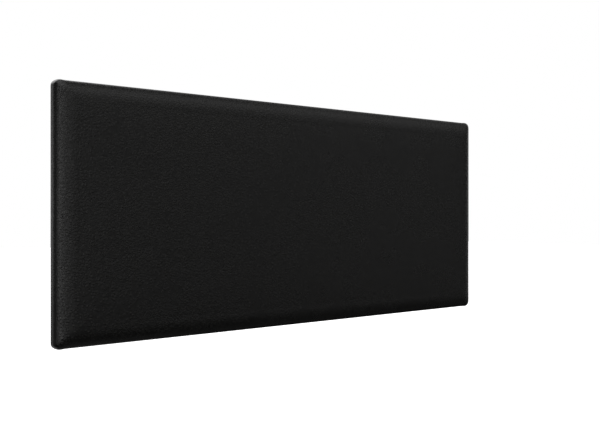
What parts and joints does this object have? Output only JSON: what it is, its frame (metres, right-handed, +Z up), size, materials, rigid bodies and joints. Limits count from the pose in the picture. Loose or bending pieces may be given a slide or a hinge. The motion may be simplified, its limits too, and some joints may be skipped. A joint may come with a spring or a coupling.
{
  "type": "wall punch pad",
  "caption": "Rectangular padded striking panel in a wrapped leathercloth cover, on a plywood board that lifts off aluminium cleat rails screwed to the wall.",
  "frame": {"origin": "centre of the rectangle of four outer wall screw holes, on the wall plane behind the middle of the pad", "axes": "+X along the pad's width, to the right as seen from the front; +Y into the wall, so the pad faces -Y; +Z up"},
  "size_m": [0.7, 0.032, 0.3],
  "materials": {
    "leathercloth": "black PU leathercloth with a pebble grain",
    "plywood": "raw birch plywood",
    "foam_firm": "firm closed-cell foam",
    "foam_shock": "open-cell foam",
    "wadding": "polyester wadding",
    "dust_cloth": "black non-woven cloth",
    "rail_aluminium": "mill-finish extrusion",
    "tape_rubber": "matt foam rubber tape",
    "bumper_rubber": "moulded rubber",
    "zinc_steel": "bright zinc plate"
  },
  "bodies": {
    "wall_mount": {"wall_rail_upper": "rail_aluminium", "wall_rail_lower": "rail_aluminium", "rail_tape_upper": "tape_rubber", "rail_tape_lower": "tape_rubber"},
    "pad": {"backer_board": "plywood", "firm_foam": "foam_firm", "shock_foam": "foam_shock", "wadding": "wadding", "cover": "leathercloth", "cover_staples": "zinc_steel", "dust_cover": "dust_cloth", "dust_cover_staples": "zinc_steel", "hanger_rail_upper": "rail_aluminium", "hanger_rail_lower": "rail_aluminium", "hanger_screws": "zinc_steel", "tee_nuts": "zinc_steel", "bumper_top_left": "bumper_rubber", "bumper_top_right": "bumper_rubber", "bumper_bottom_left": "bumper_rubber", "bumper_bottom_right": "bumper_rubber", "bumper_screws": "zinc_steel"}
  },
  "joints": [
    {"name": "lift_off", "type": "slide", "parent": "wall_mount", "child": "pad", "axis": [0, -0.7071, 0.7071], "range_m": [0, 0.1]}
  ]
}
